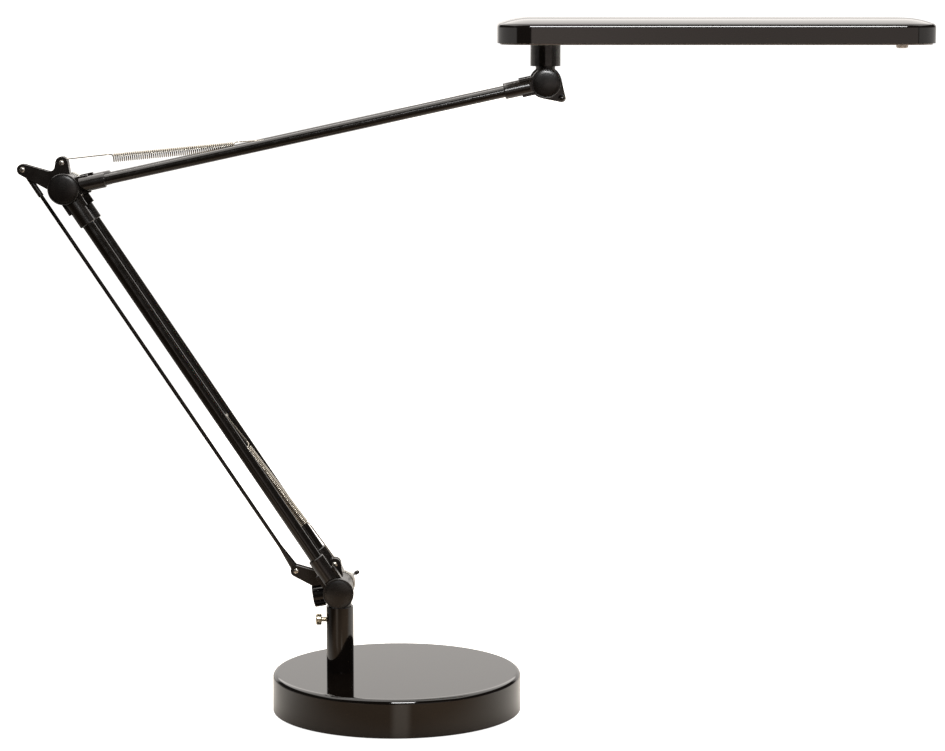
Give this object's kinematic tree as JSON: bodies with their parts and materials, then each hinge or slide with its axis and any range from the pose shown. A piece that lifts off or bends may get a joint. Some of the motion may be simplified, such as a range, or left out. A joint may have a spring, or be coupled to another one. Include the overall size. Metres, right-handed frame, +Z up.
{
  "type": "desk lamp",
  "caption": "Folding LED desk lamp with a weighted round base, two spring-balanced double-tube arms, a parallelogram link rod and a long flat head that tilts and turns.",
  "frame": {"origin": "centre of the round base on the table", "axes": "+X from the elbow side towards the lamp head, +Y away from the user to the cord inlet, +Z up"},
  "size_m": [0.6812, 0.1925, 0.5276],
  "materials": {
    "cover_gloss": "gloss black enamel",
    "cast_weight": "rough casting",
    "zinc_plate": "zinc-plated sheet",
    "foot_foam": "soft matt",
    "plated_steel": "zinc-plated",
    "black_rubber": "matt",
    "black_metal": "satin black powder coat",
    "nickel": "knurled nickel",
    "bright_steel": "bright turned",
    "black_plastic": "satin moulded",
    "spring_steel": "bright drawn wire",
    "head_black": "gloss black",
    "light_grey": "fine satin",
    "opal": "frosted",
    "clear_acrylic": "clear",
    "led_board": "coated board",
    "aluminium": "milled",
    "green_board": "coated board",
    "dark_plastic": "matt",
    "button_grey": "satin"
  },
  "bodies": {
    "base": {"base_cover": "cover_gloss", "counterweight": "cast_weight", "base_plate": "zinc_plate", "foot_pad": "foot_foam", "base_screws": "plated_steel", "cord_inlet": "black_rubber", "post": "cover_gloss", "post_washer": "plated_steel", "post_nut": "plated_steel"},
    "thumb": {"thumb_screw": "nickel"},
    "swivel": {"swivel_spindle": "plated_steel", "base_bracket": "black_metal", "base_axle": "plated_steel", "base_cap": "black_plastic", "base_rivets": "bright_steel", "base_washers": "bright_steel"},
    "knob": {"tension_knob": "black_plastic", "tension_screw": "plated_steel"},
    "clamp": {"clamp_nut": "bright_steel", "clamp_lever": "plated_steel", "clamp_lever_tip": "black_plastic"},
    "lower_arm": {"lower_tube_front": "black_metal", "lower_tube_rear": "black_metal", "lower_knuckles": "black_plastic", "lower_elbow_knuckles": "black_plastic", "lower_spring_pin": "bright_steel"},
    "lower_coil": {"lower_spring": "spring_steel"},
    "rod": {"link_rod": "black_metal", "link_rod_ends": "black_plastic"},
    "elbow": {"elbow_bracket": "black_metal", "elbow_axle": "plated_steel", "elbow_cap": "black_plastic", "elbow_nut": "bright_steel", "elbow_rivets": "bright_steel", "elbow_washers": "bright_steel"},
    "upper_arm": {"upper_tube_front": "black_metal", "upper_tube_rear": "black_metal", "upper_elbow_knuckles": "black_plastic", "upper_head_knuckles": "black_plastic", "upper_spring_pin": "bright_steel"},
    "upper_coil": {"upper_spring": "spring_steel"},
    "upper_hook": {"upper_spring_hook": "spring_steel"},
    "tilt_bracket": {"head_bracket": "black_metal", "head_axle": "plated_steel", "head_cap": "black_plastic", "head_nut": "bright_steel", "head_ear_screw": "black_metal", "head_washers": "bright_steel", "neck_nut": "plated_steel"},
    "head": {"neck_collar": "black_metal", "top_cover": "head_black", "bottom_frame": "light_grey", "frame_screws": "plated_steel", "diffuser": "opal", "light_guide": "clear_acrylic", "led_strips": "led_board", "heat_plate": "aluminium", "driver_board": "green_board", "switch_body": "dark_plastic"},
    "button": {"switch_button": "button_grey"}
  },
  "joints": [
    {"name": "base_swivel", "type": "hinge", "parent": "base", "child": "swivel", "pos_m": [-0.0435, 0, 0.0805], "axis": [0, 0, 1], "range_deg": [-170, 170]},
    {"name": "thumb_screw_turn", "type": "hinge", "parent": "base", "child": "thumb", "pos_m": [-0.06, 0, 0.0698], "axis": [-1, 0, 0], "continuous": true},
    {"name": "tension_knob_turn", "type": "hinge", "parent": "swivel", "child": "knob", "pos_m": [-0.05928, 0, 0.08886], "axis": [-0.9863, 0, -0.165], "continuous": true},
    {"name": "clamp_lever_turn", "type": "hinge", "parent": "swivel", "child": "clamp", "pos_m": [-0.0435, 0.024, 0.0947], "axis": [0, 1, 0], "range_deg": [-45, 45]},
    {"name": "lower_arm_pivot", "type": "hinge", "parent": "swivel", "child": "lower_arm", "pos_m": [-0.0435, 0, 0.0947], "axis": [0, 1, 0], "range_deg": [-12, 45], "deforming": ["lower_spring"]},
    {"name": "link_rod_swing", "type": "hinge", "parent": "swivel", "child": "rod", "pos_m": [-0.0765, 0, 0.1081], "axis": [0, 1, 0], "range_deg": [-12, 45]},
    {"name": "elbow_level", "type": "hinge", "parent": "lower_arm", "child": "elbow", "pos_m": [-0.24606, 0, 0.40074], "axis": [0, 1, 0], "range_deg": [-45, 12]},
    {"name": "upper_arm_pivot", "type": "hinge", "parent": "elbow", "child": "upper_arm", "pos_m": [-0.24606, 0, 0.40074], "axis": [0, 1, 0], "range_deg": [-60, 14], "deforming": ["upper_spring", "upper_spring_hook"]},
    {"name": "lower_spring_swing", "type": "hinge", "parent": "lower_arm", "child": "lower_coil", "pos_m": [-0.13015, 0, 0.22562], "axis": [0, 1, 0], "range_deg": [-1.8, 6.1]},
    {"name": "upper_spring_swing", "type": "hinge", "parent": "upper_arm", "child": "upper_coil", "pos_m": [-0.09269, 0, 0.43432], "axis": [0, 1, 0], "range_deg": [-2.6, 0.8]},
    {"name": "upper_spring_stretch", "type": "slide", "parent": "upper_coil", "child": "upper_hook", "axis": [-0.9954, 0, -0.0956], "range_m": [-0.0178, 0.0044]},
    {"name": "head_tilt", "type": "hinge", "parent": "upper_arm", "child": "tilt_bracket", "pos_m": [0.11245, 0, 0.47923], "axis": [0, 1, 0], "range_deg": [-28, 75]},
    {"name": "head_turn", "type": "hinge", "parent": "tilt_bracket", "child": "head", "pos_m": [0.11245, 0, 0.50723], "axis": [0, 0, 1], "range_deg": [-90, 90]},
    {"name": "switch_press", "type": "slide", "parent": "head", "child": "button", "axis": [0, 0, 1], "range_m": [0, 0.0008], "stiffness_N_per_m": 600, "springref_m": -0.0008}
  ],
  "couplings": [
    {"joint": "elbow_level", "follows": "lower_arm_pivot", "ratio": -1},
    {"joint": "link_rod_swing", "follows": "lower_arm_pivot", "ratio": 1},
    {"joint": "lower_spring_swing", "follows": "lower_arm_pivot", "ratio": 0.131},
    {"joint": "upper_spring_swing", "follows": "upper_arm_pivot", "ratio": 0.04},
    {"joint": "upper_spring_stretch", "follows": "upper_arm_pivot", "m_per_rad": 0.0165}
  ]
}
